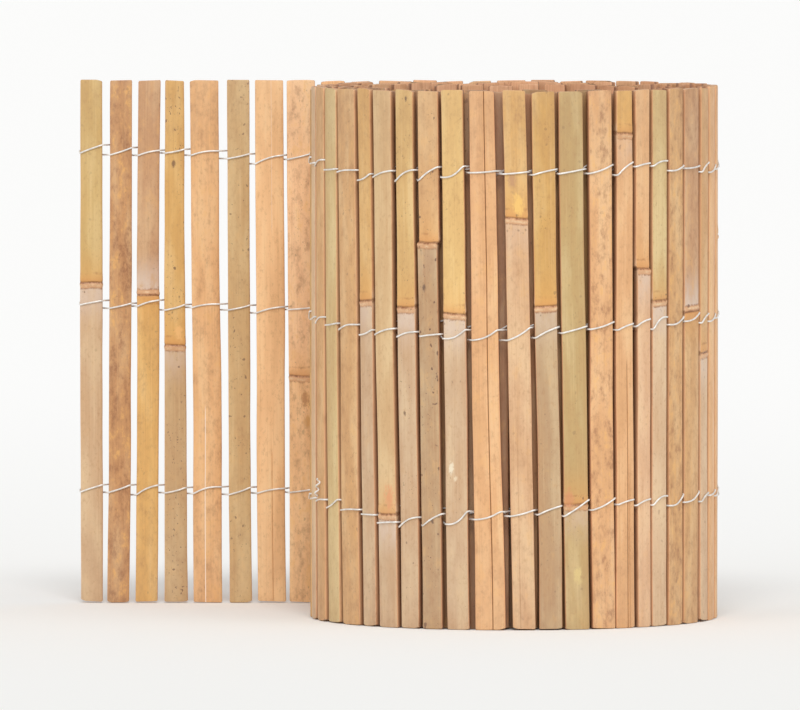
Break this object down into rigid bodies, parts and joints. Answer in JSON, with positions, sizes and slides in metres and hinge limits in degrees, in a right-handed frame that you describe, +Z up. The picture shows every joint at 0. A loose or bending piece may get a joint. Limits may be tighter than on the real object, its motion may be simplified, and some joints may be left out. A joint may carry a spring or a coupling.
{
  "type": "bamboo fence panel",
  "caption": "Low garden fence of split bamboo slats tied side by side with rows of twisted wire, standing on its slat ends, part rolled up with its open end let out flat.",
  "frame": {"origin": "middle of the outline seen from above, on the ground under the slats' lower ends", "axes": "+X along the open end of the mat towards the roll, +Y from the front of the roll to the open end's line behind it, +Z up along the slats"},
  "size_m": [0.3656, 0.2376, 0.3],
  "materials": {
    "bamboo": "natural split bamboo, satin skin, raw cut edges",
    "wire": "galvanised tie wire"
  },
  "bodies": {
    "root": {"bottom_wire": "wire", "inner_turn_1": "bamboo", "inner_turn_2": "bamboo", "inner_turn_3": "bamboo", "middle_wire": "wire", "slat_01": "bamboo", "slat_02": "bamboo", "slat_03": "bamboo", "slat_04": "bamboo", "slat_05": "bamboo", "slat_06": "bamboo", "slat_07": "bamboo", "slat_08": "bamboo", "slat_09": "bamboo", "slat_10": "bamboo", "slat_11": "bamboo", "slat_12": "bamboo", "slat_13": "bamboo", "slat_14": "bamboo", "slat_15": "bamboo", "slat_16": "bamboo", "slat_17": "bamboo", "slat_18": "bamboo", "slat_19": "bamboo", "slat_20": "bamboo", "slat_21": "bamboo", "slat_22": "bamboo", "slat_23": "bamboo", "slat_24": "bamboo", "slat_25": "bamboo", "slat_26": "bamboo", "slat_27": "bamboo", "slat_28": "bamboo", "slat_29": "bamboo", "slat_30": "bamboo", "slat_31": "bamboo", "slat_32": "bamboo", "slat_33": "bamboo", "slat_34": "bamboo", "slat_35": "bamboo", "slat_36": "bamboo", "slat_37": "bamboo", "slat_38": "bamboo", "slat_39": "bamboo", "slat_40": "bamboo", "slat_41": "bamboo", "slat_42": "bamboo", "slat_43": "bamboo", "slat_44": "bamboo", "slat_45": "bamboo", "slat_46": "bamboo", "slat_47": "bamboo", "top_wire": "wire"}
  },
  "joints": []
}
